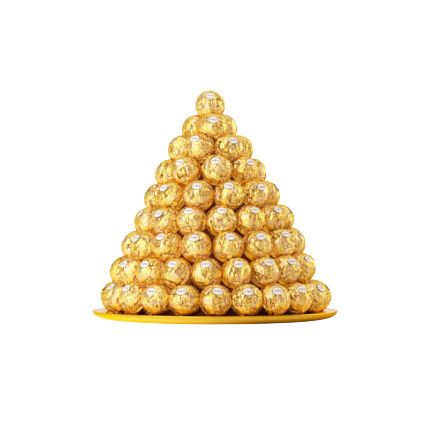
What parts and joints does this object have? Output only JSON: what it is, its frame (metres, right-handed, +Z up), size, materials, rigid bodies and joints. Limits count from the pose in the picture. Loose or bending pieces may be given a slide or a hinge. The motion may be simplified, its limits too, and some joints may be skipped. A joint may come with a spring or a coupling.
{
  "type": "chocolate praline tower",
  "caption": "Cone of round chocolate pralines in crumpled gold foil, stacked in rings on a shallow round golden plate.",
  "frame": {"origin": "centre of the plate's underside, on the surface it stands on", "axes": "+Z up along the tower; the pictured side faces -Y and +X is to its right"},
  "size_m": [0.269, 0.269, 0.2482],
  "materials": {
    "gold_foil": "crumpled thin gold foil, glossy",
    "gold_lacquer": "smooth glossy gold lacquer",
    "label_paper": "white paper seal with a thin gold-brown edge",
    "shade_core": "dark, matt, seen only in the gaps between pralines"
  },
  "bodies": {
    "root": {"praline_tier_1": "gold_foil", "praline_tier_2": "gold_foil", "praline_tier_3": "gold_foil", "praline_tier_4": "gold_foil", "praline_tier_5": "gold_foil", "praline_tier_6": "gold_foil", "praline_tier_7": "gold_foil", "praline_tier_8": "gold_foil", "praline_tier_9": "gold_foil", "serving_plate": "gold_lacquer"}
  },
  "joints": []
}
